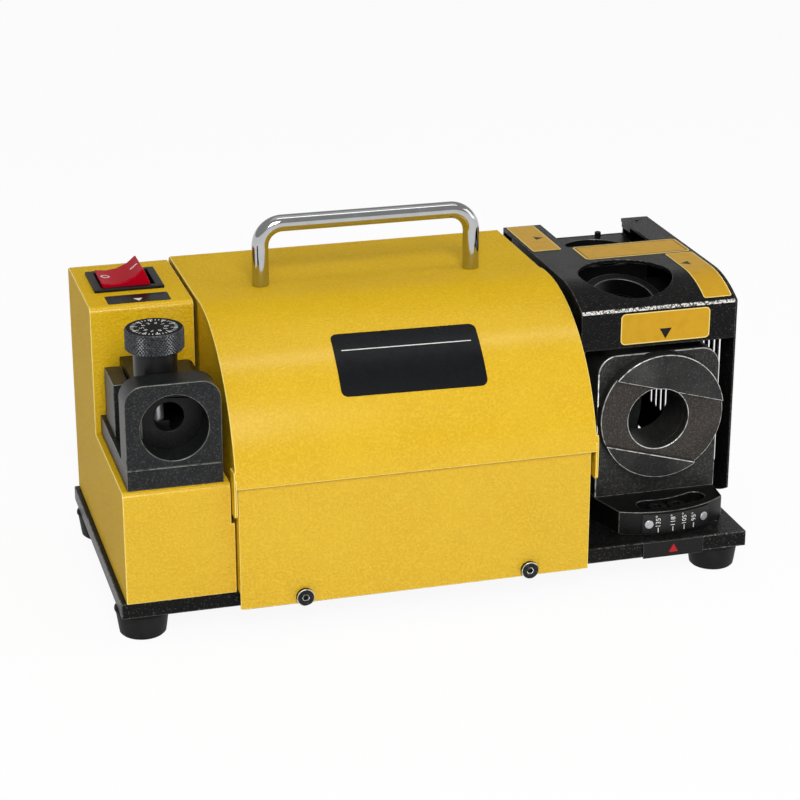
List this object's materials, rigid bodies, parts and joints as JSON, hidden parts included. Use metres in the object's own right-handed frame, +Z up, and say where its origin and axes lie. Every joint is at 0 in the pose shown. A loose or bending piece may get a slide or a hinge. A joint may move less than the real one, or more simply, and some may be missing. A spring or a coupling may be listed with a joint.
{
  "type": "drill bit sharpener",
  "caption": "Bench machine that regrinds twist drills: a motor under a sheet-metal hood, a grinding head with swivelling and fixed holder ports, a setting gauge and a carrying handle.",
  "frame": {"origin": "on the ground under the middle of the machine", "axes": "+X along the base plate from the gauge to the grinding head, +Y from the curved front to the flat back, +Z up"},
  "size_m": [0.3236, 0.1642, 0.1815],
  "materials": {
    "yellow_coat": "fine-textured yellow powder coat",
    "black_coat": "textured black powder coat",
    "dark_steel": "blackened steel, ground edges worn bright",
    "black_screws": "black-oxide steel",
    "bright_steel": "zinc-plated or turned steel",
    "chrome": "polished chrome plate",
    "rubber": "moulded black rubber",
    "red_plastic": "glossy translucent red",
    "black_plastic": "moulded black plastic",
    "scale_black": "black anodised scale with white marks",
    "brass": "nickel-bright brass",
    "copper": "enamelled copper winding",
    "aluminium": "cast and drawn aluminium",
    "grey_paint": "grey enamel",
    "laminations": "stacked steel sheet",
    "abrasive": "resin-bonded abrasive grit"
  },
  "bodies": {
    "frame": {"left_housing": "yellow_coat", "hood": "yellow_coat", "lower_front_panel": "yellow_coat", "head_cover": "black_coat", "side_plate": "black_coat", "head_rear_panel": "black_coat", "base_plate": "black_coat", "bulkhead": "black_coat", "gauge_base": "dark_steel", "gauge_block": "dark_steel", "gauge_body": "dark_steel", "gauge_side_plate": "dark_steel", "gauge_collar": "dark_steel", "top_port": "dark_steel", "rear_port_block": "dark_steel", "pointer_plate": "dark_steel", "rear_screws": "black_screws", "panel_screws": "black_screws", "cover_screws": "black_screws", "port_screws": "black_screws", "clamp_screws": "black_screws", "inlet_screws": "black_screws", "inner_brackets": "bright_steel", "foot_screws": "bright_steel", "handle_screws": "bright_steel", "bulkhead_bolts": "bright_steel", "pivot_pin": "bright_steel", "gauge_screws": "bright_steel", "bearings": "bright_steel", "motor_tie_bolts": "bright_steel", "handle": "chrome", "feet": "rubber", "switch_body": "black_plastic", "power_inlet": "black_plastic", "switch_terminals": "brass", "inlet_pins": "brass", "stator_coils": "copper", "motor_front_bell": "aluminium", "motor_rear_bell": "aluminium", "capacitor": "aluminium", "motor_housing": "grey_paint", "stator_core": "laminations"},
    "rocker": {"switch_rocker": "red_plastic"},
    "gauge_dial": {"gauge_knob": "dark_steel", "gauge_spindle": "bright_steel"},
    "stop": {"gauge_stop": "bright_steel"},
    "swivel": {"swivel_base": "dark_steel", "swivel_block": "dark_steel", "block_bolts": "bright_steel", "cam_ring": "dark_steel", "ring_screws": "bright_steel", "angle_scale": "scale_black", "scale_screws": "bright_steel"},
    "rotor": {"motor_shaft": "bright_steel", "rotor_core": "laminations", "cooling_fan": "black_plastic", "wheel_arbor": "bright_steel", "grinding_wheel": "bright_steel", "abrasive_rim": "abrasive", "wheel_nut": "bright_steel"}
  },
  "joints": [
    {"name": "rocker_tilt", "type": "hinge", "parent": "frame", "child": "rocker", "pos_m": [-0.134, 0.046, 0.1414], "axis": [0, 1, 0], "range_deg": [0, 32]},
    {"name": "dial_turn", "type": "hinge", "parent": "frame", "child": "gauge_dial", "pos_m": [-0.1349, -0.0443, 0.144], "axis": [0, 0, 1], "range_deg": [0, 330]},
    {"name": "stop_slide", "type": "slide", "parent": "frame", "child": "stop", "axis": [0, 0, -1], "range_m": [0, 0.002]},
    {"name": "swivel_turn", "type": "hinge", "parent": "frame", "child": "swivel", "pos_m": [0.1205, -0.01, 0.0221], "axis": [0, 0, 1], "range_deg": [-14, 6]},
    {"name": "spindle_spin", "type": "hinge", "parent": "frame", "child": "rotor", "pos_m": [0.11, 0.0325, 0.076], "axis": [1, 0, 0], "continuous": true}
  ],
  "couplings": [
    {"joint": "stop_slide", "follows": "dial_turn", "m_per_rad": 0.000347}
  ]
}
